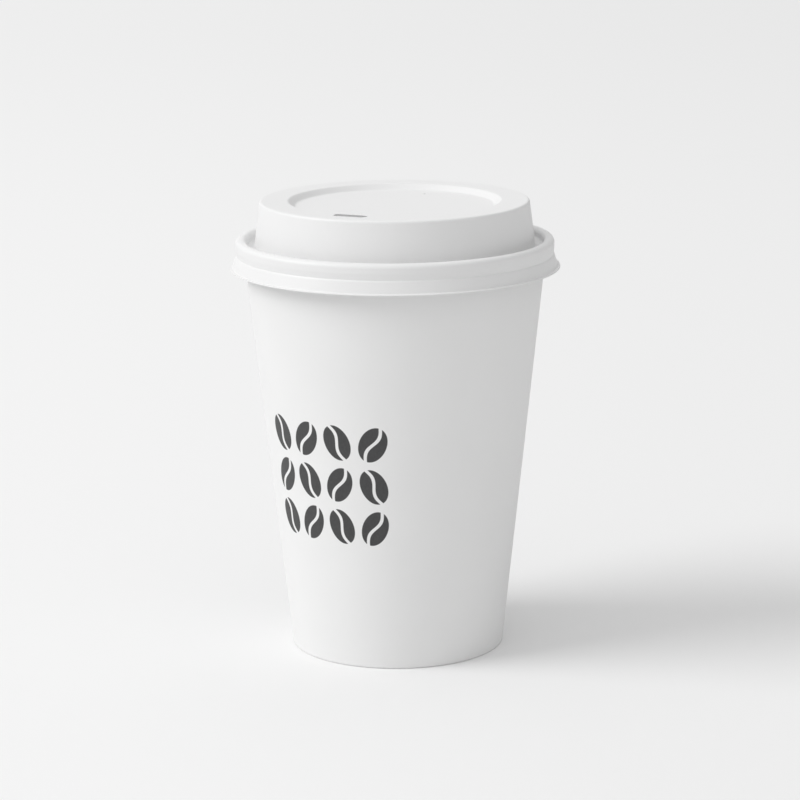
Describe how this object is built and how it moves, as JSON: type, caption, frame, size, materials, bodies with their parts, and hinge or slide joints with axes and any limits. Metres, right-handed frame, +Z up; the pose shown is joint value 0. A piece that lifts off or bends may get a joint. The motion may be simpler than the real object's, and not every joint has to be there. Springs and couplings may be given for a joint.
{
  "type": "paper coffee cup",
  "caption": "Tapered single-wall paper cup with rolled brim, lapped side seam and folded foot, closed by a push-fit moulded lid with a sunk panel and a sip hole.",
  "frame": {"origin": "centre of the foot, on the plane that the cup stands on", "axes": "+Z up along the cup's axis, -Y towards the side with the sip hole, side seam near +Y"},
  "size_m": [0.0946, 0.0946, 0.1304],
  "materials": {
    "cup_board": "matte, clay-coated white board",
    "lid_sheet": "satin white moulded sheet"
  },
  "bodies": {
    "cup": {"cup_wall": "cup_board", "cup_bottom": "cup_board"},
    "lid": {"lid": "lid_sheet"}
  },
  "joints": [
    {"name": "lid_lift", "type": "slide", "parent": "cup", "child": "lid", "axis": [0, 0, 1], "range_m": [0, 0.06]}
  ]
}
